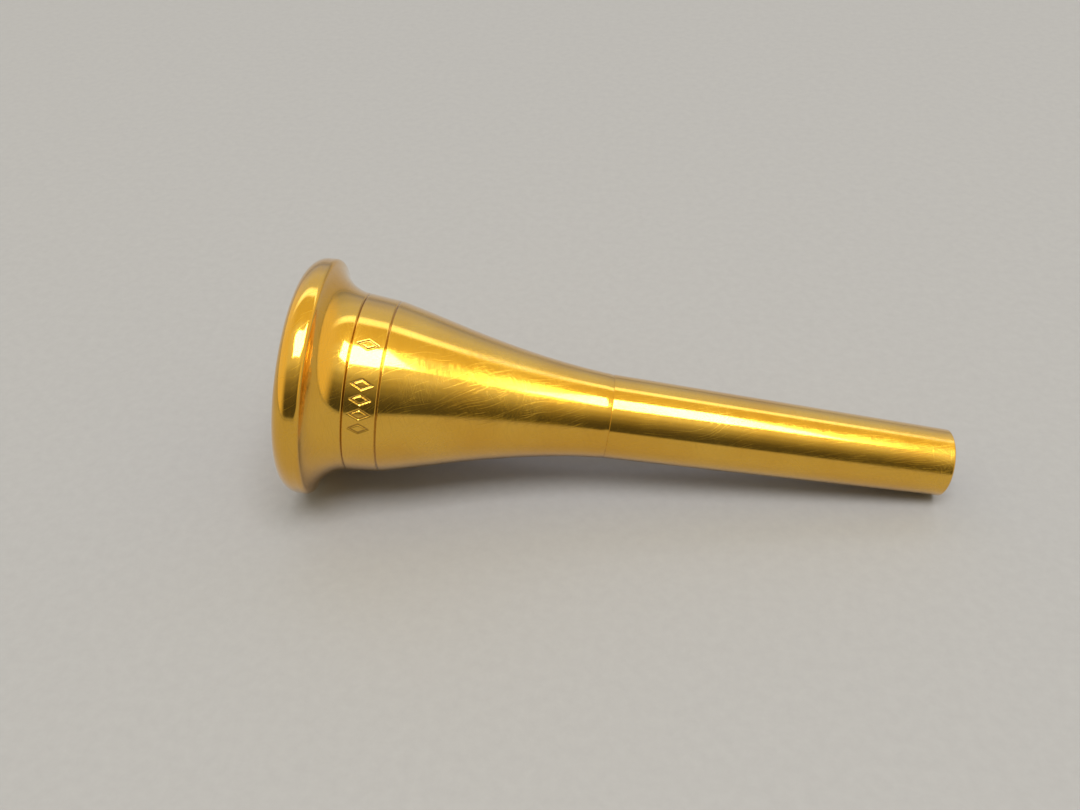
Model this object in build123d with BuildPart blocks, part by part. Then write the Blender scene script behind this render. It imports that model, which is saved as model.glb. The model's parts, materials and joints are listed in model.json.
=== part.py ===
from build123d import *
import os
from math import asin, atan, atan2, cos, degrees, hypot, radians, sin, sqrt, tan

# A gold-plated brass French horn mouthpiece in three turned pieces: a screw-on rim, a cup
# body and a tapered shank. It lies on its side on the plane z = 0, resting on the bead of
# the rim and on the tip of the shank, with the rim towards -X and the shank towards +X.
# All sizes are in millimetres. A place on the object is given as a depth, measured along
# its axis from the highest ring of the rim's face, and a radius from that axis.

os.makedirs("parts", exist_ok=True)

# Whole object
overall_length = 66.0
rim_radius = 12.0
shank_tip_radius = 3.4
morse_taper = 0.05205        # change of the shank's diameter for each mm of its length

# Rim
face_radius = 10.1           # radius of the highest ring of the face
outer_round = 1.9            # rounding from the face to the outside of the bead
bite_round = 1.6             # rounding from the face into the cup
bead_back_round = 0.5        # rounding of the bead's back edge
neck_radius = 3.7            # hollow neck between the bead and the first turned line

# Turned lines and the band between them
rim_seam = 6.2               # depth of the line where the rim butts on the cup
band_end = 9.4               # depth of the second line, which is only decoration
band_start_radius = 9.03
band_end_radius = 8.7
band_slope = (band_end_radius - band_start_radius) / (band_end - rim_seam)
line_half_width = 0.13
line_depth = 0.14

seam_edge_depth = rim_seam - line_half_width

# Cup body outside: a long taper that flattens towards the shank
shank_seam = 31.6
taper_middle = (19.4, 6.2)
taper_start_slope = -0.225
taper_end_slope = -0.07
hairline = 0.04              # width and depth of the bevels at the shank seam
shank_start_radius = shank_tip_radius + (overall_length - shank_seam) * morse_taper / 2

# Cup, throat and backbore
wall_angle = 22.0            # between the cup's wall and the axis, just below the rim
throat_radius = 2.4
throat_start = 26.0
throat_length = 2.5
backbore_tip_radius = 2.9
tip_bevel = 0.12
rim_wall_spans = 4           # spans of the curves through the cup's wall
cup_wall_spans = 8

# Screw thread between rim and cup
spigot_top = 3.25
spigot_radius = 8.28
thread_bore_radius = 8.34
thread_pitch = 0.6
thread_depth = 0.22
thread_half_width = 0.17
seat_gap = 0.05              # behind the faces that do not bear on each other
thread_run_out = 0.35        # plain length left at the blind end of each thread
cutter_overlap = 0.03        # how far the thread cutters start outside the metal

# Shank spigot, fixed in the lower end of the cup
socket_radius = 3.42
shank_spigot_radius = 3.4
spigot_bevel = 0.2

# Engraved lozenges on the band, by their angle about the axis: 0 faces -Y and 90 faces up
lozenge_angles = [67.0, 42.0, 32.5, 23.0, 13.5]
lozenge_length = 2.2
lozenge_width = 1.15
lozenge_stroke = 0.2
engraving_depth = 0.12

# The hollow neck leaves the band without a corner and meets the bead's back rounding the same
# way, so the two arcs touch and their centres are the sum of their radii apart.
band_angle = atan(-band_slope)
neck_centre_depth = seam_edge_depth + neck_radius * sin(band_angle)
neck_centre_radius = band_start_radius + neck_radius * cos(band_angle)
bead_centre_radius = rim_radius - bead_back_round
centre_rise = neck_centre_radius - bead_centre_radius
centre_reach = sqrt((neck_radius + bead_back_round) ** 2 - centre_rise**2)
bead_centre_depth = neck_centre_depth - centre_reach
bead_back_turn = 90 - degrees(atan2(centre_rise, centre_reach))
neck_turn = bead_back_turn - degrees(band_angle)

# How it lies: the bead's back rounding and the shank's tip touch the plane z = 0 together.
tip_depth = overall_length - tip_bevel
depth_between = tip_depth - bead_centre_depth
drop_between = bead_centre_radius - shank_tip_radius
tilt = asin(bead_back_round / hypot(depth_between, drop_between)) + atan2(drop_between, depth_between)
axis_height = tip_depth * sin(tilt) + shank_tip_radius * cos(tilt)
front_reach = outer_round * cos(tilt) - face_radius * sin(tilt) - outer_round
back_reach = overall_length * cos(tilt) + (shank_tip_radius - tip_bevel) * sin(tilt)
axis_start = Vector(-(front_reach + back_reach) / 2, 0, axis_height)
axis_direction = Vector(cos(tilt), 0, -sin(tilt))

profile_plane = Plane(origin=axis_start, x_dir=axis_direction, z_dir=(0, -1, 0))
turning_axis = Axis(axis_start, axis_direction)


def on_axis(depth):
    """Point on the object's axis at a depth below the rim's face."""
    return axis_start + axis_direction * depth


# The bite's rounding runs into the cup's wall without a corner, at this depth and radius.
entry_depth = bite_round * (1 - sin(radians(wall_angle)))
entry_radius = face_radius - bite_round * cos(radians(wall_angle))
cup_power = tan(radians(wall_angle)) * (throat_start - entry_depth) / (entry_radius - throat_radius)


def cup_radius(depth):
    """Radius of the funnel-shaped cup at a depth: steep at the rim, level at the throat."""
    left = (throat_start - depth) / (throat_start - entry_depth)
    return throat_radius + (entry_radius - throat_radius) * left**cup_power


def cup_wall(start, end, spans):
    """Points down the cup's wall from one depth to another."""
    depths = [start + (end - start) * step / spans for step in range(spans + 1)]
    return [(depth, cup_radius(depth)) for depth in depths]


def outward(angle):
    """Unit vector square to the axis, at an angle about it from -Y towards the top."""
    up = Vector(sin(tilt), 0, cos(tilt))
    return Vector(0, -1, 0) * cos(radians(angle)) + up * sin(radians(angle))


# Rim: the face and bead, a hollow neck behind them and a female thread inside.
with BuildPart() as rim:
    with BuildSketch(profile_plane):
        with BuildLine():
            JernArc((0, face_radius), (0, -1), bite_round, 90 - wall_angle)
            wall = Spline(*cup_wall(entry_depth, spigot_top - seat_gap, rim_wall_spans))
            step_in = Line(wall @ 1, (spigot_top - seat_gap, thread_bore_radius))
            bore = Line(step_in @ 1, (rim_seam, thread_bore_radius))
            seat = Line(bore @ 1, (rim_seam, band_start_radius - line_depth))
            seam_edge = Line(seat @ 1, (seam_edge_depth, band_start_radius))
            neck = JernArc(seam_edge @ 1, (-1, -band_slope), neck_radius, -neck_turn)
            bead_back = JernArc(neck @ 1, neck % 1, bead_back_round, bead_back_turn)
            bead = Line(bead_back @ 1, (outer_round, rim_radius))
            JernArc(bead @ 1, (-1, 0), outer_round, 90)
        make_face()
    revolve(axis=turning_axis)
    female_start = on_axis(rim_seam + thread_pitch)
    female_length = rim_seam + thread_pitch - spigot_top - thread_run_out
    with BuildLine() as female_helix:
        Helix(thread_pitch, female_length, thread_bore_radius, female_start, -axis_direction)
    female_root = female_helix.line @ 0
    with BuildSketch(Plane(female_root, x_dir=female_root - female_start, z_dir=female_helix.line % 0)):
        Polygon(
            (-cutter_overlap, -thread_half_width),
            (thread_depth, 0),
            (-cutter_overlap, thread_half_width),
            align=None,
        )
    sweep(path=female_helix.line, is_frenet=True, mode=Mode.SUBTRACT)
rim.part.label = "rim"
export_step(rim.part, "parts/rim.step")

# Cup body: threaded spigot, band between the turned lines, long taper, and a socket below.
with BuildPart() as cup:
    with BuildSketch(profile_plane):
        with BuildLine():
            wall = Spline(*cup_wall(spigot_top, throat_start, cup_wall_spans))
            socket_end = Line(wall @ 1, (throat_start, socket_radius))
            socket = Line(socket_end @ 1, (shank_seam, socket_radius))
            end_face = Line(socket @ 1, (shank_seam, shank_start_radius - hairline))
            end_bevel = Line(end_face @ 1, (shank_seam - hairline, shank_start_radius))
            taper_start = (band_end + line_half_width, band_end_radius + band_slope * line_half_width)
            taper = Spline(
                taper_start,
                taper_middle,
                end_bevel @ 1,
                tangents=[(1, taper_start_slope), (1, taper_end_slope)],
            )
            band = Polyline(
                taper_start,
                (band_end, band_end_radius - line_depth),
                (band_end - line_half_width, band_end_radius - band_slope * line_half_width),
                (rim_seam + line_half_width, band_start_radius + band_slope * line_half_width),
                (rim_seam, band_start_radius - line_depth),
                (rim_seam, spigot_radius),
                (spigot_top, spigot_radius),
                wall @ 0,
            )
        make_face()
    revolve(axis=turning_axis)
    male_start = on_axis(spigot_top - thread_pitch)
    male_length = rim_seam + thread_pitch - spigot_top - thread_run_out
    with BuildLine() as male_helix:
        Helix(thread_pitch, male_length, spigot_radius, male_start, axis_direction)
    male_root = male_helix.line @ 0
    with BuildSketch(Plane(male_root, x_dir=male_root - male_start, z_dir=male_helix.line % 0)):
        Polygon(
            (cutter_overlap, -thread_half_width),
            (cutter_overlap, thread_half_width),
            (-thread_depth, 0),
            align=None,
        )
    sweep(path=male_helix.line, is_frenet=True, mode=Mode.SUBTRACT)
    band_middle_depth = (rim_seam + band_end) / 2
    band_middle_radius = (band_start_radius + band_end_radius) / 2
    for angle in lozenge_angles:
        along = axis_direction + outward(angle) * band_slope
        normal = outward(angle) - axis_direction * band_slope
        middle = on_axis(band_middle_depth) + outward(angle) * (band_middle_radius + engraving_depth)
        with BuildSketch(Plane(middle, x_dir=along, z_dir=normal)):
            half_length, half_width = lozenge_length / 2, lozenge_width / 2
            corners = [(half_length, 0), (0, half_width), (-half_length, 0), (0, -half_width)]
            Polygon(*corners, align=None)
            offset(amount=-lozenge_stroke, mode=Mode.SUBTRACT)
        extrude(amount=-2 * engraving_depth, mode=Mode.SUBTRACT)
cup.part.label = "cup"
export_step(cup.part, "parts/cup.step")

# Shank: a plain spigot fixed in the cup, the throat, the backbore and the leadpipe taper.
with BuildPart() as shank:
    with BuildSketch(profile_plane):
        with BuildLine():
            Polyline(
                (throat_start, throat_radius),
                (throat_start + throat_length, throat_radius),
                (overall_length, backbore_tip_radius),
                (overall_length, shank_tip_radius - tip_bevel),
                (tip_depth, shank_tip_radius),
                (shank_seam + hairline, shank_start_radius),
                (shank_seam, shank_start_radius - hairline),
                (shank_seam, shank_spigot_radius),
                (throat_start + spigot_bevel, shank_spigot_radius),
                (throat_start, shank_spigot_radius - spigot_bevel),
                close=True,
            )
        make_face()
    revolve(axis=turning_axis)
shank.part.label = "shank"
export_step(shank.part, "parts/shank.step")
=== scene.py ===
import json
import math
from typing import NamedTuple

import bpy
import numpy as np
from mathutils import Matrix, Vector


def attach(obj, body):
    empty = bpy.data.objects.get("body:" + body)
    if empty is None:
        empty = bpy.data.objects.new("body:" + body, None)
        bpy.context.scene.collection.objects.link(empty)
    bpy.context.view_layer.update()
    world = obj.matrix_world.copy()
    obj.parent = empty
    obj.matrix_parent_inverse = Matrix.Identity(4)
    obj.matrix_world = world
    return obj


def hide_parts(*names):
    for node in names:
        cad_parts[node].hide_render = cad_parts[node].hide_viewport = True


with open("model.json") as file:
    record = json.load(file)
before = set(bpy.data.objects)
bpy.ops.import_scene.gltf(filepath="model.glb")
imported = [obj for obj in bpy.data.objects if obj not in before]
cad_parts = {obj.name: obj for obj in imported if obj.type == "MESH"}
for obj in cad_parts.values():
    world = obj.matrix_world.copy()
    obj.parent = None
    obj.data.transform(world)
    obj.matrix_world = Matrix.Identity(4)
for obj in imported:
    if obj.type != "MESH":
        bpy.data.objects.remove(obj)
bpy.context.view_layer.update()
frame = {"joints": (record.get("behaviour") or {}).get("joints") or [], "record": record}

# A gold-plated brass horn mouthpiece: screw-on rim, cup body and tapered shank. Each piece is
# turned here on the same axis and to the same sizes as its CAD node, with finer rings, broken
# edges, cut threads and engraved marks. Sizes are in millimetres unless a comment says otherwise.
# A place on the object is a depth along its axis from the rim's face and a radius from that axis.

MM = 0.001
INSIDE = 0.9998  # keeps the turned surfaces a hair inside the CAD's

# ---------------------------------------------------------------- sizes, as in the CAD model

LENGTH = 66.0
RIM_RADIUS = 12.0
TIP_RADIUS = 3.4
TAPER = 0.05205 / 2
FACE_RADIUS = 10.1
OUTER_ROUND = 1.9
BITE_ROUND = 1.6
BEAD_BACK_ROUND = 0.5
NECK_RADIUS = 3.7
RIM_SEAM = 6.2
BAND_END = 9.4
BAND_START_RADIUS = 9.03
BAND_END_RADIUS = 8.7
LINE_HALF_WIDTH = 0.13
LINE_DEPTH = 0.14
SHANK_SEAM = 31.6
SHANK_START_RADIUS = TIP_RADIUS + (LENGTH - SHANK_SEAM) * TAPER
TAPER_MIDDLE = (19.4, 6.2)
TAPER_START_SLOPE = -0.225
TAPER_END_SLOPE = -0.07
HAIRLINE = 0.04
WALL_ANGLE = math.radians(22)
THROAT_RADIUS = 2.4
THROAT_START = 26.0
THROAT_LENGTH = 2.5
BACKBORE_TIP_RADIUS = 2.9
TIP_BEVEL = 0.12
SPIGOT_TOP = 3.25
SPIGOT_RADIUS = 8.28
THREAD_BORE_RADIUS = 8.34
THREAD_PITCH = 0.6
THREAD_DEPTH = 0.22
THREAD_HALF_WIDTH = 0.17
THREAD_RUN_OUT = 0.35
SEAT_GAP = 0.05
SOCKET_RADIUS = 3.42
SHANK_SPIGOT_RADIUS = 3.4
SPIGOT_BEVEL = 0.2
LOZENGE_ANGLES = [67.0, 42.0, 32.5, 23.0, 13.5]
LOZENGE_LENGTH = 2.2
LOZENGE_WIDTH = 1.15
LOZENGE_STROKE = 0.2
ENGRAVING_DEPTH = 0.12

BAND_SLOPE = (BAND_END_RADIUS - BAND_START_RADIUS) / (BAND_END - RIM_SEAM)
ENTRY_DEPTH = BITE_ROUND * (1 - math.sin(WALL_ANGLE))
ENTRY_RADIUS = FACE_RADIUS - BITE_ROUND * math.cos(WALL_ANGLE)
CUP_POWER = math.tan(WALL_ANGLE) * (THROAT_START - ENTRY_DEPTH) / (ENTRY_RADIUS - THROAT_RADIUS)

# ---------------------------------------------------------------- finer detail than the CAD has

SUPPORT = 0.02  # a straight stretch's first and last rings stand this far from its ends
SAME_POINT = 1e-5  # points nearer than this are one point
NECK_EDGE_TURN = 1.5  # degrees of the neck's arc left out beside the rim's broken back edge
MIDDLE_STEEPNESS = 1.14  # the taper's slope at TAPER_MIDDLE, over its mean slope
THREAD_FADE = 0.15  # length over which a thread runs out
PAST_END = 1.0  # a thread that doesn't run out is cut this far past its cylinder's end
ON_CYLINDER = 1e-3  # a point this near a cylinder's radius is on it
BAND_MARGIN = 0.3  # tells the band's plain surface from its lines and from the spigot
OUTSIDE_MARGIN = 0.1  # tells the outside from the spigot, by radius

# How worn the plating is by depth, from 0 to 1: most on the middle of the taper, and at the tip
WEAR_DEPTHS = [14, 18, 26, 31, 46, 60]
WEAR_LEVELS = [0, 0.85, 0.8, 0, 0, 0.6]

UV_MEAN_RADIUS = 0.6  # radius that the UV map takes for the whole object, in centimetres
MM_PER_CM = 10

# ---------------------------------------------------------------- the object's own axis

joint = frame["joints"][0]
mounts = {mount["name"]: mount for mount in frame["record"]["mounts"]}
AXIS = -Vector(joint["axis"]).normalized()
ACROSS = Vector((0, -1, 0))
UP = ACROSS.cross(AXIS)
FACE_CENTRE = Vector(mounts["leadpipe_taper"]["pos_m"]) - AXIS * LENGTH * MM

# ---------------------------------------------------------------- outlines


def arc(centre, radius, start, end, steps):
    """Points on an arc of an outline, by angles in degrees from the depth direction."""
    angles = np.radians(np.linspace(start, end, steps + 1))
    return [(centre[0] + radius * math.cos(a), centre[1] + radius * math.sin(a)) for a in angles]


def cup_radius(depth):
    """Radius of the funnel-shaped cup at a depth."""
    left = (THROAT_START - depth) / (THROAT_START - ENTRY_DEPTH)
    return THROAT_RADIUS + (ENTRY_RADIUS - THROAT_RADIUS) * left**CUP_POWER


def cup_wall(start, end, steps):
    """Points down the cup's wall from one depth to another."""
    return [(depth, cup_radius(depth)) for depth in np.linspace(start, end, steps + 1)]


def hermite(start, end, start_slope, end_slope, steps):
    """Points on a smooth curve between two points with a slope at each."""
    span = end[0] - start[0]
    points = []
    for t in np.linspace(0, 1, steps + 1):
        h0, h1 = 2 * t**3 - 3 * t**2 + 1, -2 * t**3 + 3 * t**2
        h2, h3 = t**3 - 2 * t**2 + t, t**3 - t**2
        radius = h0 * start[1] + h1 * end[1] + span * (h2 * start_slope + h3 * end_slope)
        points.append((start[0] + span * t, radius))
    return points


class Corner(NamedTuple):
    """A corner of an outline, broken over the distance edge along each side. The straight stretch
    after it has rings the distance spacing apart, or the outline's own if there is none."""

    depth: float
    radius: float
    edge: float
    spacing: float | None = None


def first(item):
    """First point of a curve or a corner."""
    return item[0] if isinstance(item, list) else item[:2]


def last(item):
    """Last point of a curve or a corner."""
    return item[-1] if isinstance(item, list) else item[:2]


def broken_edge(before, corner, after, size, steps=4):
    """A corner of an outline rounded off over a distance size along each side."""
    before, corner, after = (np.array(p, float) for p in (before, corner, after))
    start = corner + (before - corner) * size / np.linalg.norm(before - corner)
    end = corner + (after - corner) * size / np.linalg.norm(after - corner)
    along = np.linspace(0, 1, steps + 1)
    return [tuple((1 - t) ** 2 * start + 2 * t * (1 - t) * corner + t**2 * end) for t in along]


def straight(start, end, spacing):
    """Points between two points: one beside each, and the others about the spacing apart."""
    start, end = np.array(start, float), np.array(end, float)
    gap = np.linalg.norm(end - start)
    if gap <= SUPPORT:
        return []
    support = min(SUPPORT, gap / 3) / gap
    inner = np.linspace(support, 1 - support, max(2, round(gap / spacing) + 1))
    return [tuple(start + (end - start) * t) for t in inner]


def outline(items, spacing):
    """Points of a closed outline, from a list of curves, each a list of points, and corners."""
    runs = []
    for i, item in enumerate(items):
        if isinstance(item, list):
            runs.append((item, spacing))
        else:
            before, after = last(items[i - 1]), first(items[(i + 1) % len(items)])
            run = broken_edge(before, item[:2], after, item.edge)
            runs.append((run, item.spacing or spacing))
    points = []
    for i, (run, step) in enumerate(runs):
        next_run = runs[(i + 1) % len(runs)][0]
        points += run + straight(run[-1], next_run[0], step)
    kept = [p for i, p in enumerate(points) if math.dist(p, points[i - 1]) > SAME_POINT]
    return np.array(kept)


# ---------------------------------------------------------------- cut and engraved detail


def thread_cut(depth, angle, first_depth, last_depth):
    """Depth of a right-hand V thread at points on a cylinder, fading out at both ends."""
    phase = depth / THREAD_PITCH + angle / (2 * np.pi)
    offset = np.abs((phase + 0.5) % 1.0 - 0.5) * THREAD_PITCH
    cut = THREAD_DEPTH * np.clip(1 - offset / THREAD_HALF_WIDTH, 0, 1)
    fade_in = np.clip((depth - first_depth) / THREAD_FADE, 0, 1)
    fade_out = np.clip((last_depth - depth) / THREAD_FADE, 0, 1)
    return cut * (fade_in * fade_out)


def lozenge_cut(depth, angle):
    """Depth of the engraved lozenge outlines at points on the band."""
    middle_depth = (RIM_SEAM + BAND_END) / 2
    middle_radius = (BAND_START_RADIUS + BAND_END_RADIUS) / 2
    half_length, half_width = LOZENGE_LENGTH / 2, LOZENGE_WIDTH / 2
    half_stroke = LOZENGE_STROKE / 2
    inradius = half_length * half_width / math.hypot(half_length, half_width)
    along = np.abs(depth - middle_depth)
    cut = np.zeros_like(depth)
    for centre in np.radians(LOZENGE_ANGLES):
        across = np.abs((angle - centre) * middle_radius)
        inside = (1 - across / half_width - along / half_length) * inradius
        stroke = 1 - np.abs(inside - half_stroke) / half_stroke
        cut = np.maximum(cut, ENGRAVING_DEPTH * np.sqrt(np.clip(stroke, 0, 1)))
    return cut


def rim_detail(depth, radius, angle):
    """Cut in the rim's surface: the female thread in its bore, which goes outward."""
    on_bore = (np.abs(radius - THREAD_BORE_RADIUS) < ON_CYLINDER) & (depth > SPIGOT_TOP)
    female = thread_cut(depth, angle, SPIGOT_TOP + THREAD_RUN_OUT, RIM_SEAM + PAST_END)
    return np.where(on_bore, -female, 0)


def cup_detail(depth, radius, angle):
    """Cut in the cup's surface: the male thread on its spigot and the marks on its band."""
    on_spigot = np.abs(radius - SPIGOT_RADIUS) < ON_CYLINDER
    band_depths = (depth > RIM_SEAM + BAND_MARGIN) & (depth < BAND_END - BAND_MARGIN)
    on_band = (radius > SPIGOT_RADIUS + BAND_MARGIN) & band_depths
    male = thread_cut(depth, angle, SPIGOT_TOP - PAST_END, RIM_SEAM - THREAD_RUN_OUT)
    return np.where(on_spigot, male, 0) + np.where(on_band, lozenge_cut(depth, angle), 0)


def no_detail(depth, radius, angle):
    """A plain turned surface."""
    return np.zeros_like(depth)


# ---------------------------------------------------------------- turning


def places(depth, reach, angle):
    """Places in metres of points at a depth, a distance from the axis and an angle about it."""
    axis, across, up = (np.array(v) for v in (AXIS, ACROSS, UP))
    return (
        np.array(FACE_CENTRE)
        + depth[..., None] * MM * axis
        + (reach * np.cos(angle))[..., None] * MM * across
        + (reach * np.sin(angle))[..., None] * MM * up
    )


def quad_corners(rows, columns):
    """Corners of a quad at each row and column, in the order that faces it outward. The last ones
    are one past the end, where the surface closes on itself."""
    row, column = np.meshgrid(np.arange(rows), np.arange(columns), indexing="ij")
    return [(row, column), (row, column + 1), (row + 1, column + 1), (row + 1, column)]


def unwrap(mesh, points, angles, corners):
    """The UV map "turned": centimetres round the object and along the outline."""
    steps = np.linalg.norm(np.diff(points, axis=0, append=points[:1]), axis=1)
    along = np.concatenate([[0], np.cumsum(steps)])
    turn = np.append(angles, angles[0] + 2 * np.pi)
    uv = [np.stack((turn[c] * UV_MEAN_RADIUS, along[r] / MM_PER_CM), axis=-1) for r, c in corners]
    layer = mesh.uv_layers.new(name="turned")
    layer.data.foreach_set("uv", np.stack(uv, axis=2).astype(np.float32).ravel())


def recess(depth, radius, cut, line_depths):
    """How far into a line, a thread or an engraved mark a point is, from 0 to 1; the gold is painted
    darker there as shade.
    """
    deepest = np.clip(np.abs(cut) / ENGRAVING_DEPTH, 0, 1)
    outside = radius > SPIGOT_RADIUS + OUTSIDE_MARGIN
    for centre in line_depths:
        near = 1 - np.abs(depth - centre) / LINE_HALF_WIDTH
        deepest = np.maximum(deepest, np.where(outside, np.clip(near, 0, 1), 0))
    return deepest


def add_values(mesh, name, values):
    """A number at each point of a mesh, for its material to read."""
    attribute = mesh.attributes.new(name=name, type="FLOAT", domain="POINT")
    attribute.data.foreach_set("value", values.astype(np.float32).ravel())


def turned(name, points, angles, detail, line_depths=()):
    """A closed mesh turned from an outline about the object's axis. angles run once round from
    below, detail gives how far the surface is cut in, and line_depths are its turned lines."""
    rows, columns = len(points), len(angles)
    depth = np.repeat(points[:, :1], columns, axis=1)
    radius = np.repeat(points[:, 1:], columns, axis=1)
    angle = np.repeat(angles[None, :], rows, axis=0)
    cut = detail(depth, radius, angle)
    corners = quad_corners(rows, columns)
    faces = np.stack([(r % rows) * columns + c % columns for r, c in corners], axis=-1).reshape(-1, 4)
    mesh = bpy.data.meshes.new(name)
    mesh.from_pydata(places(depth, (radius - cut) * INSIDE, angle).reshape(-1, 3), [], faces.tolist())
    unwrap(mesh, points, angles, corners)
    # recess tells the material where to paint shade in lines, threads and marks
    add_values(mesh, "recess", recess(depth, radius, cut, line_depths))
    add_values(mesh, "wear", np.interp(depth, WEAR_DEPTHS, WEAR_LEVELS))
    mesh.polygons.foreach_set("use_smooth", np.ones(len(faces), bool))
    mesh.update()
    piece = bpy.data.objects.new(name, mesh)
    bpy.context.scene.collection.objects.link(piece)
    return piece


def even_angles(count):
    """Angles once round, from below."""
    return -math.pi / 2 + np.arange(count) * 2 * math.pi / count


def angles_with_marks(plain_step, fine_step, margin=5.0):
    """Angles once round, from below, closer together where the marks are."""
    first_mark = math.radians(min(LOZENGE_ANGLES) - margin)
    last_mark = math.radians(max(LOZENGE_ANGLES) + margin)
    stretches = [
        (-math.pi / 2, first_mark, plain_step),
        (first_mark, last_mark, fine_step),
        (last_mark, 3 * math.pi / 2, plain_step),
    ]
    parts = []
    for start, end, step in stretches:
        count = round((end - start) / math.radians(step))
        parts.append(np.linspace(start, end, count, endpoint=False))
    return np.concatenate(parts)


# ---------------------------------------------------------------- the three pieces


def make_rim():
    """The screw-on rim."""
    band_angle = math.atan(-BAND_SLOPE)
    edge_depth = RIM_SEAM - LINE_HALF_WIDTH
    neck_centre = (
        edge_depth + NECK_RADIUS * math.sin(band_angle),
        BAND_START_RADIUS + NECK_RADIUS * math.cos(band_angle),
    )
    rise = neck_centre[1] - (RIM_RADIUS - BEAD_BACK_ROUND)
    reach = math.sqrt((NECK_RADIUS + BEAD_BACK_ROUND) ** 2 - rise**2)
    bead_centre = (neck_centre[0] - reach, RIM_RADIUS - BEAD_BACK_ROUND)
    touch = math.degrees(math.atan2(rise, reach))
    face_centre = (OUTER_ROUND, FACE_RADIUS)
    bite_centre = (BITE_ROUND, FACE_RADIUS)
    bite_end = 270 - math.degrees(WALL_ANGLE)
    neck_start = 270 - math.degrees(band_angle) - NECK_EDGE_TURN
    wall_end = SPIGOT_TOP - SEAT_GAP
    items = [
        arc(bite_centre, BITE_ROUND, 180, bite_end, steps=24),
        cup_wall(ENTRY_DEPTH, wall_end, steps=14)[1:-1],
        Corner(wall_end, cup_radius(wall_end), edge=0.05),
        Corner(wall_end, THREAD_BORE_RADIUS, edge=0.03, spacing=0.045),
        Corner(RIM_SEAM, THREAD_BORE_RADIUS, edge=0.05),
        Corner(RIM_SEAM, BAND_START_RADIUS - LINE_DEPTH, edge=0.03, spacing=0.05),
        Corner(edge_depth, BAND_START_RADIUS, edge=0.04),
        arc(neck_centre, NECK_RADIUS, neck_start, 180 + touch, steps=36),
        arc(bead_centre, BEAD_BACK_ROUND, touch, 90, steps=12)[1:],
        arc(face_centre, OUTER_ROUND, 90, 180, steps=36)[:-1],
    ]
    return turned("rim_gold", outline(items, spacing=0.3), even_angles(300), rim_detail, [RIM_SEAM])


def cup_taper(start, end):
    """Points down the cup's long outside taper, through its middle point."""
    middle_slope = (end[1] - start[1]) / (end[0] - start[0]) * MIDDLE_STEEPNESS
    upper = hermite(start, TAPER_MIDDLE, TAPER_START_SLOPE, middle_slope, steps=23)
    lower = hermite(TAPER_MIDDLE, end, middle_slope, TAPER_END_SLOPE, steps=30)
    return upper + lower[1:]


def make_cup():
    """The cup body, with its spigot, band, taper and socket."""
    taper_start = (BAND_END + LINE_HALF_WIDTH, BAND_END_RADIUS + BAND_SLOPE * LINE_HALF_WIDTH)
    taper_end = (SHANK_SEAM - HAIRLINE, SHANK_START_RADIUS)
    band_start = (RIM_SEAM + LINE_HALF_WIDTH, BAND_START_RADIUS + BAND_SLOPE * LINE_HALF_WIDTH)
    band_end = (BAND_END - LINE_HALF_WIDTH, BAND_END_RADIUS - BAND_SLOPE * LINE_HALF_WIDTH)
    items = [
        cup_wall(SPIGOT_TOP, THROAT_START, steps=44)[1:-1],
        Corner(THROAT_START, THROAT_RADIUS, edge=0.05),
        Corner(THROAT_START, SOCKET_RADIUS, edge=0.05),
        Corner(SHANK_SEAM, SOCKET_RADIUS, edge=0.04),
        Corner(SHANK_SEAM, SHANK_START_RADIUS - HAIRLINE, edge=0.02),
        cup_taper(taper_start, taper_end)[-2:0:-1],
        Corner(*taper_start, edge=0.06),
        Corner(BAND_END, BAND_END_RADIUS - LINE_DEPTH, edge=0.04, spacing=0.05),
        Corner(*band_end, edge=0.06, spacing=0.05),
        Corner(*band_start, edge=0.06, spacing=0.06),
        Corner(RIM_SEAM, BAND_START_RADIUS - LINE_DEPTH, edge=0.03),
        Corner(RIM_SEAM, SPIGOT_RADIUS, edge=0.02, spacing=0.05),
        Corner(SPIGOT_TOP, SPIGOT_RADIUS, edge=0.06),
        Corner(SPIGOT_TOP, cup_radius(SPIGOT_TOP), edge=0.05),
    ]
    angles = angles_with_marks(plain_step=1.9, fine_step=0.4)
    return turned("cup_gold", outline(items, spacing=0.4), angles, cup_detail, [RIM_SEAM, BAND_END])


def make_shank():
    """The tapered shank with its spigot, throat and backbore."""
    items = [
        Corner(THROAT_START, THROAT_RADIUS, edge=0.08),
        Corner(THROAT_START + THROAT_LENGTH, THROAT_RADIUS, edge=0.3, spacing=0.8),
        Corner(LENGTH, BACKBORE_TIP_RADIUS, edge=0.08),
        Corner(LENGTH, TIP_RADIUS - TIP_BEVEL, edge=0.04),
        Corner(LENGTH - TIP_BEVEL, TIP_RADIUS, edge=0.05, spacing=0.6),
        Corner(SHANK_SEAM + HAIRLINE, SHANK_START_RADIUS, edge=0.03),
        Corner(SHANK_SEAM, SHANK_START_RADIUS - HAIRLINE, edge=0.02),
        Corner(SHANK_SEAM, SHANK_SPIGOT_RADIUS, edge=0.02),
        Corner(THROAT_START + SPIGOT_BEVEL, SHANK_SPIGOT_RADIUS, edge=0.05),
        Corner(THROAT_START, SHANK_SPIGOT_RADIUS - SPIGOT_BEVEL, edge=0.05),
    ]
    return turned("shank_gold", outline(items, spacing=0.4), even_angles(240), no_detail)


# ---------------------------------------------------------------- the gold


class Finish(NamedTuple):
    """What tells one finish of the gold plating from another."""

    name: str
    mirror_roughness: float
    satin_roughness: float
    satin_share: float
    scratch_height: float
    ring_height: float


class Scratching(NamedTuple):
    """One kind of scratch: its angle on the UV map in degrees, the stretch of its noise along and
    across it, the level above which the noise is a scratch, and a shift that makes it unlike the
    other kinds."""

    angle: float
    along: float
    across: float
    level: float
    shift: float


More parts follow.
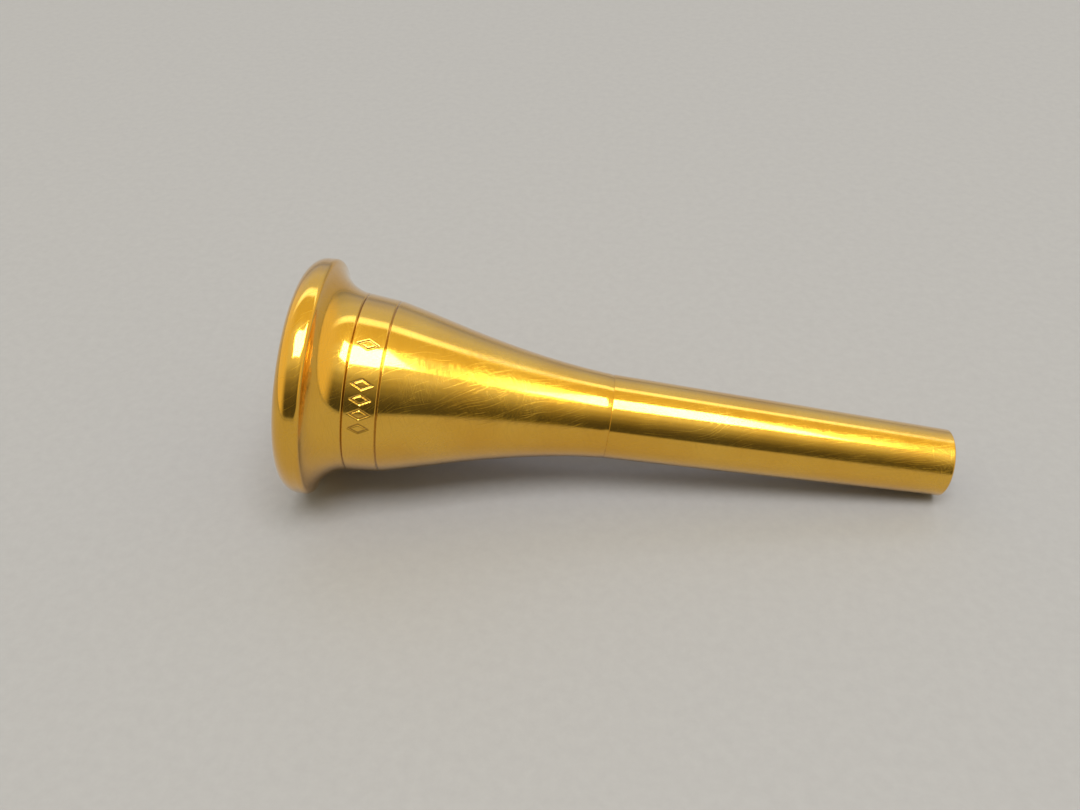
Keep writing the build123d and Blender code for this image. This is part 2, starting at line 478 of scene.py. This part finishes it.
POLISHED = Finish(
    "polished_gold",
    mirror_roughness=0.045,
    satin_roughness=0.3,
    satin_share=0.06,
    scratch_height=0.5,
    ring_height=0.2,
)
HANDLED = Finish(
    "handled_gold",
    mirror_roughness=0.08,
    satin_roughness=0.38,
    satin_share=0.07,
    scratch_height=0.45,
    ring_height=0.8,
)

DEEP_GOLD = (0.78, 0.41, 0.025, 1)
PALE_GOLD = (0.84, 0.48, 0.045, 1)
# Painted shade: lines, threads and engraved marks get a darker gold, standing in for the shade that
# falls in them
PAINTED_SHADE_KEPT = (0.30, 0.28, 0.50)  # share of each colour that is left in a recess
PAINTED_SHADE_SHARE = 0.55

SWIRLS = [
    Scratching(angle=-18.0, along=2.6, across=210.0, level=0.62, shift=3.1),
    Scratching(angle=-36.0, along=3.2, across=230.0, level=0.63, shift=7.7),
    Scratching(angle=12.0, along=3.0, across=210.0, level=0.64, shift=12.3),
]
STROKES = [
    Scratching(angle=62.0, along=2.2, across=160.0, level=0.662, shift=21.9),
    Scratching(angle=74.0, along=1.6, across=130.0, level=0.70, shift=33.3),
]
SCRATCH_EDGE = 0.05  # how far over its level a scratch is at its full strength
SWIRL_SHARE = 0.6  # strength of a swirl against a stroke
BEND_SCALE = 1.2
BEND_REACH = (0.35, 0.35, 0.0)  # centimetres on the UV map
BRUSHING_ANGLES = (-24.0, 62.0)  # degrees on the UV map

SHIFT_SKEW = 0.37  # how much less the noise is shifted across a scratch than along it

FINE_RING_SHARE = 0.35
WIDE_RING_SHARE = 0.65
BRUSHING_HEIGHT = 1.6
BUMP_DISTANCE = 0.00002  # metres
SATIN_BUMP = 0.28
MIRROR_BUMP = 0.08
MIRROR_BUMP_WORN = 0.26  # added where the plating is worn

# Roughness that haze, marks and wear add to a layer, and what they add to the satin layer's share
MIRROR_HAZE, MIRROR_MARKS, MIRROR_WEAR = 0.03, 0.10, 0.04
SATIN_HAZE = 0.06
SHARE_MARKS, SHARE_HAZE, SHARE_WEAR = 0.3, 0.06, 0.02


class Nodes:
    """A short way to write a node tree."""

    def __init__(self, tree):
        self.tree = tree
        self.tree.nodes.clear()

    def add(self, kind, inputs=None, **settings):
        """A node with its settings and inputs. An input is a value or another node's output."""
        node = self.tree.nodes.new("ShaderNode" + kind)
        for key, value in settings.items():
            setattr(node, key, value)
        for key, value in (inputs or {}).items():
            self.set(node.inputs[key], value)
        return node

    def set(self, socket, value):
        """Link a socket to an output, or set its value."""
        if isinstance(value, bpy.types.NodeSocket):
            self.tree.links.new(value, socket)
        else:
            socket.default_value = value

    def math(self, operation, a, b=0.0, clamp=False):
        """The result of one operation on numbers."""
        node = self.add("Math", {0: a, 1: b}, operation=operation, use_clamp=clamp)
        return node.outputs[0]

    def times(self, a, b):
        """One number times another."""
        return self.math("MULTIPLY", a, b)

    def total(self, values, clamp=False):
        """The sum of two or more numbers, kept from 0 to 1 if clamp is set."""
        result = values[0]
        for value in values[1:-1]:
            result = self.math("ADD", result, value)
        return self.math("ADD", result, values[-1], clamp)

    def largest(self, values):
        """The largest of some numbers."""
        result = values[0]
        for value in values[1:]:
            result = self.math("MAXIMUM", result, value)
        return result

    def band(self, value, low, high, to_low=0.0, to_high=1.0):
        """value carried smoothly from the range low to high onto to_low to to_high."""
        inputs = {"Value": value, "From Min": low, "From Max": high, "To Min": to_low, "To Max": to_high}
        return self.add("MapRange", inputs, interpolation_type="SMOOTHSTEP").outputs["Result"]

    def noise(self, vector, scale, detail, roughness):
        """Noise from 0 to 1."""
        inputs = {"Vector": vector, "Scale": scale, "Detail": detail, "Roughness": roughness}
        return self.add("TexNoise", inputs).outputs["Fac"]

    def vector(self, operation, a, b):
        """The result of one operation on vectors."""
        return self.add("VectorMath", {0: a, 1: b}, operation=operation).outputs[0]

    def mapped(self, vector, scale, shift=(0, 0, 0)):
        """A vector scaled and then shifted."""
        inputs = {"Vector": vector, "Scale": scale, "Location": shift}
        return self.add("Mapping", inputs, vector_type="POINT").outputs[0]

    def rotated(self, vector, angle):
        """A vector rotated about Z by an angle in degrees."""
        inputs = {"Vector": vector, "Angle": math.radians(angle)}
        return self.add("VectorRotate", inputs, rotation_type="Z_AXIS").outputs[0]

    def mix(self, share, a, b):
        """Colour a mixed with a share of colour b."""
        return self.add("Mix", {0: share, 6: a, 7: b}, data_type="RGBA").outputs[2]


def stretched_noise(n, surface, along, across, roughness, angle=None):
    """Noise drawn out into lines on the UV map: round the object, or at an angle in degrees."""
    lined = surface if angle is None else n.rotated(surface, angle)
    stretched = n.mapped(lined, (along, across, 1.0))
    return n.noise(stretched, scale=1.0, detail=2.0, roughness=roughness)


def bent(n, surface):
    """The UV map bent a little, so that straight lines on it curve."""
    noise = n.add("TexNoise", {"Vector": surface, "Scale": BEND_SCALE, "Detail": 1.0})
    return n.vector("ADD", surface, n.vector("MULTIPLY", noise.outputs["Color"], BEND_REACH))


def scratches(n, surface, kinds):
    """Short scratches of several kinds: 1 on a scratch and 0 elsewhere."""
    lines = []
    for kind in kinds:
        shift = (kind.shift, kind.shift * SHIFT_SKEW, kind.shift)
        stretched = n.mapped(n.rotated(surface, kind.angle), (kind.along, kind.across, 1), shift)
        noise = n.noise(stretched, scale=1.0, detail=1.0, roughness=0.4)
        lines.append(n.band(noise, kind.level, kind.level + SCRATCH_EDGE))
    return n.largest(lines)


def all_marks(n, curved, cloud):
    """Swirls and strokes together, fainter in patches."""
    fainter = n.band(cloud, low=0.38, high=0.62, to_low=0.6)
    swirls = n.times(scratches(n, curved, SWIRLS), SWIRL_SHARE)
    return n.times(n.total([swirls, scratches(n, curved, STROKES)]), fainter)


def relief(n, finish, surface, curved, marks, wear):
    """Height of the surface: turned rings, with scratches cut in and brushing where it is worn."""
    wide = stretched_noise(n, surface, along=0.5, across=45.0, roughness=0.6)
    fine = stretched_noise(n, surface, along=1.2, across=140.0, roughness=0.5)
    rings = n.total(
        [
            n.times(fine, FINE_RING_SHARE * finish.ring_height),
            n.times(wide, WIDE_RING_SHARE * finish.ring_height),
        ]
    )
    shallow, steep = BRUSHING_ANGLES
    brushed = [
        stretched_noise(n, curved, along=2.2, across=160.0, roughness=0.6, angle=shallow),
        stretched_noise(n, curved, along=3.0, across=130.0, roughness=0.6, angle=steep),
    ]
    worn = n.times(n.total(brushed), wear)
    brushing = n.times(worn, BRUSHING_HEIGHT * finish.ring_height)
    scratched = n.math("SUBTRACT", rings, n.times(marks, finish.scratch_height))
    return n.total([scratched, brushing])


def bump(n, height, strength):
    """The surface's direction with its height taken into account."""
    inputs = {"Height": height, "Strength": strength, "Distance": BUMP_DISTANCE}
    return n.add("Bump", inputs).outputs[0]


def plating_colour(n, cloud, recess):
    """Gold that varies in patches, with painted shade darkening it in its recesses."""
    tone = n.mix(n.band(cloud, low=0.35, high=0.65), DEEP_GOLD, PALE_GOLD)
    # painted shade: the gold is darkened in lines, threads and marks by how deep a point lies in them
    painted_shade = tuple(c * kept for c, kept in zip(DEEP_GOLD[:3], PAINTED_SHADE_KEPT)) + (1,)
    return n.mix(n.times(recess, PAINTED_SHADE_SHARE), tone, painted_shade)


def mirror_layer(n, finish, colour, height, haze, marks, wear):
    """The polished part of the plating, with its reflections drawn out along the object."""
    added = [n.times(haze, MIRROR_HAZE), n.times(marks, MIRROR_MARKS), n.times(wear, MIRROR_WEAR)]
    roughness = n.total([*added, finish.mirror_roughness])
    strength = n.total([n.times(wear, MIRROR_BUMP_WORN), MIRROR_BUMP])
    inputs = {
        "Base Color": colour,
        "Metallic": 1.0,
        "Roughness": roughness,
        "Anisotropic": 0.5,
        "Anisotropic Rotation": 0.25,
        "Tangent": n.add("Tangent", direction_type="UV_MAP", uv_map="turned").outputs[0],
        "Coat Weight": 0.8,
        "Coat Roughness": 0.06,
        "Normal": bump(n, height, strength),
    }
    return n.add("BsdfPrincipled", inputs).outputs[0]


def satin_layer(n, finish, colour, height, haze):
    """The softer part of the plating."""
    inputs = {
        "Base Color": colour,
        "Metallic": 1.0,
        "Roughness": n.total([n.times(haze, SATIN_HAZE), finish.satin_roughness]),
        "Coat Weight": 0.8,
        "Coat Roughness": 0.12,
        "Normal": bump(n, height, SATIN_BUMP),
    }
    return n.add("BsdfPrincipled", inputs).outputs[0]


def gold(finish):
    """Gold plating over turned brass: a mirror layer with a share of a satin one, more of it on
    scratches, haze and wear."""
    material = bpy.data.materials.new(finish.name)
    material.use_nodes = True
    n = Nodes(material.node_tree)
    place = n.add("TexCoord").outputs["Object"]
    surface = n.add("UVMap", uv_map="turned").outputs[0]
    recess_here = n.add("Attribute", attribute_name="recess").outputs["Fac"]
    wear = n.add("Attribute", attribute_name="wear").outputs["Fac"]
    cloud = n.noise(place, scale=90.0, detail=3.0, roughness=0.55)
    fine_cloud = n.noise(place, scale=260.0, detail=4.0, roughness=0.6)
    haze = n.band(fine_cloud, low=0.42, high=0.72)
    curved = bent(n, surface)
    marks = all_marks(n, curved, cloud)
    height = relief(n, finish, surface, curved, marks, wear)
    colour = plating_colour(n, cloud, recess_here)
    mirror = mirror_layer(n, finish, colour, height, haze, marks, wear)
    satin = satin_layer(n, finish, colour, height, haze)
    added = [n.times(marks, SHARE_MARKS), n.times(haze, SHARE_HAZE), n.times(wear, SHARE_WEAR)]
    share = n.total([*added, finish.satin_share], clamp=True)
    both = n.add("MixShader", {0: share, 1: mirror, 2: satin})
    n.add("OutputMaterial", {"Surface": both.outputs[0]})
    return material


polished = gold(POLISHED)
worn_gold = gold(HANDLED)

pieces = {"rim": make_rim(), "cup": make_cup(), "shank": make_shank()}
finishes = {"rim": polished, "cup": worn_gold, "shank": worn_gold}
bodies = frame["record"]["behaviour"]["bodies"]
body_of = {node: body for body, nodes in bodies.items() for node in nodes}
for node, piece in pieces.items():
    piece.data.materials.append(finishes[node])
    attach(piece, body_of[node])
    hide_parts(node)

# ---------------------------------------------------------------- stage, in metres

FLOOR_HALF = 12.0
FLOOR_DARK = (0.265, 0.262, 0.258, 1)
FLOOR_LIGHT = (0.305, 0.302, 0.297, 1)

# The room's light by the angle about X in degrees: 0 is level towards -Y and 90 is overhead
ROOM_LIGHT = [
    (0, (0.06, 0.06, 0.06)),
    (12, (0.07, 0.07, 0.07)),
    (22, (0.11, 0.105, 0.095)),
    (32, (0.22, 0.21, 0.18)),
    (44, (0.42, 0.40, 0.34)),
    (58, (0.80, 0.78, 0.70)),
    (86, (0.88, 0.86, 0.76)),
    (96, (0.80, 0.68, 0.32)),
    (119, (0.78, 0.66, 0.31)),
    (124, (2.0, 2.1, 2.4)),
    (129, (2.0, 2.1, 2.4)),
    (134, (0.70, 0.76, 0.96)),
    (150, (0.68, 0.74, 0.94)),
    (166, (0.52, 0.57, 0.74)),
    (180, (0.28, 0.31, 0.40)),
]
SIDE_LIGHT = (0.92, 0.80, 0.52, 1)  # towards +X and -X
HORIZON_LIGHT = (0.46, 0.46, 0.46, 1)  # at the horizon and below
HORIZON_TOP = 4  # degrees above level at which the room's own light is reached
BACKDROP = (0.55, 0.55, 0.55, 1)  # what the camera itself sees behind the object

CAMERA_AZIMUTH = -6.97
CAMERA_ELEVATION = 43.0
CAMERA_ROLL = -2.49
CAMERA_DISTANCE = 0.10684
CAMERA_TARGET = (-0.00787, 0.00013, 0.00902)
CAMERA_LENS = 35.0  # millimetres
CAMERA_SENSOR = 36.0  # millimetres
CAMERA_CLIP_START = 0.005


def make_floor():
    """A plain pale floor."""
    mesh = bpy.data.meshes.new("floor")
    corners = [(-1, -1), (1, -1), (1, 1), (-1, 1)]
    mesh.from_pydata([(x * FLOOR_HALF, y * FLOOR_HALF, 0) for x, y in corners], [], [(0, 1, 2, 3)])
    floor = bpy.data.objects.new("floor", mesh)
    bpy.context.scene.collection.objects.link(floor)
    material = bpy.data.materials.new("pale_floor")
    material.use_nodes = True
    n = Nodes(material.node_tree)
    place = n.add("TexCoord").outputs["Object"]
    grain = n.noise(place, scale=900.0, detail=3.0, roughness=0.6)
    tone = n.mix(grain, FLOOR_DARK, FLOOR_LIGHT)
    surface = n.add("BsdfPrincipled", {"Base Color": tone, "Roughness": 0.75})
    n.add("OutputMaterial", {"Surface": surface.outputs[0]})
    mesh.materials.append(material)


def area_light(name, place, aim, size, power, colour):
    """A rectangular soft light at a place, facing a point."""
    light = bpy.data.lights.new(name, "AREA")
    light.shape = "RECTANGLE"
    light.size, light.size_y = size
    light.energy = power
    light.color = colour
    lamp = bpy.data.objects.new(name, light)
    bpy.context.scene.collection.objects.link(lamp)
    lamp.location = place
    facing = Vector(aim) - Vector(place)
    lamp.rotation_mode = "QUATERNION"
    lamp.rotation_quaternion = facing.to_track_quat("-Z", "Y")


def around(angle, distance, sideways=0.0):
    """A place in the plane across the object: 0 degrees is level towards -Y and 90 is overhead."""
    a = math.radians(angle)
    return (sideways, -distance * math.cos(a), distance * math.sin(a))


def room_ramp(n, about):
    """The room's light, from the angle about X as a share of half a turn."""
    ramp = n.add("ValToRGB", {"Fac": about})
    ramp.color_ramp.interpolation = "EASE"
    elements = ramp.color_ramp.elements
    stops = [(angle / 180, (*colour, 1)) for angle, colour in ROOM_LIGHT]
    elements[0].position, elements[0].color = stops[0]
    elements[1].position, elements[1].color = stops[-1]
    for position, colour in stops[1:-1]:
        elements.new(position).color = colour
    return ramp.outputs[0]


def make_world():
    """A soft room, as seen in a turned surface: its light goes by the angle about X and by how
    far sideways it is, and it is an even grey at the horizon and below."""
    world = bpy.data.worlds.new("studio")
    bpy.context.scene.world = world
    world.use_nodes = True
    n = Nodes(world.node_tree)
    x, y, z = n.add("SeparateXYZ", {0: n.add("TexCoord").outputs["Generated"]}).outputs
    about = n.math("DIVIDE", n.math("ARCTAN2", z, n.times(y, -1.0)), math.pi)
    sideways = n.band(n.math("ABSOLUTE", x), low=0.48, high=0.86)
    room = n.mix(sideways, room_ramp(n, about), SIDE_LIGHT)
    above = n.band(z, low=0.0, high=math.sin(math.radians(HORIZON_TOP)))
    room = n.mix(above, HORIZON_LIGHT, room)
    room = n.mix(n.add("LightPath").outputs["Is Camera Ray"], room, BACKDROP)
    background = n.add("Background", {"Color": room, "Strength": 1.0})
    n.add("OutputWorld", {"Surface": background.outputs[0]})


def make_camera():
    """A camera at the photograph's viewing angle."""
    azimuth, elevation = math.radians(CAMERA_AZIMUTH), math.radians(CAMERA_ELEVATION)
    camera = bpy.data.objects.new("camera", bpy.data.cameras.new("camera"))
    bpy.context.scene.collection.objects.link(camera)
    camera.data.lens = CAMERA_LENS
    camera.data.sensor_width = CAMERA_SENSOR
    camera.data.clip_start = CAMERA_CLIP_START
    level = math.cos(elevation)
    forward = Vector((math.sin(azimuth) * level, math.cos(azimuth) * level, -math.sin(elevation)))
    camera.location = Vector(CAMERA_TARGET) - forward * CAMERA_DISTANCE
    roll = Matrix.Rotation(math.radians(CAMERA_ROLL), 3, "Z").to_quaternion()
    camera.rotation_mode = "QUATERNION"
    camera.rotation_quaternion = forward.to_track_quat("-Z", "Y") @ roll
    bpy.context.scene.camera = camera


make_floor()
make_world()
area_light(
    "key",
    place=around(75, distance=1.8, sideways=0.15),
    aim=(0, 0, 0),
    size=(1.38, 0.74),
    power=35.0,
    colour=(1.0, 0.99, 1.0),
)
make_camera()
bpy.context.scene.view_settings.view_transform = "Standard"
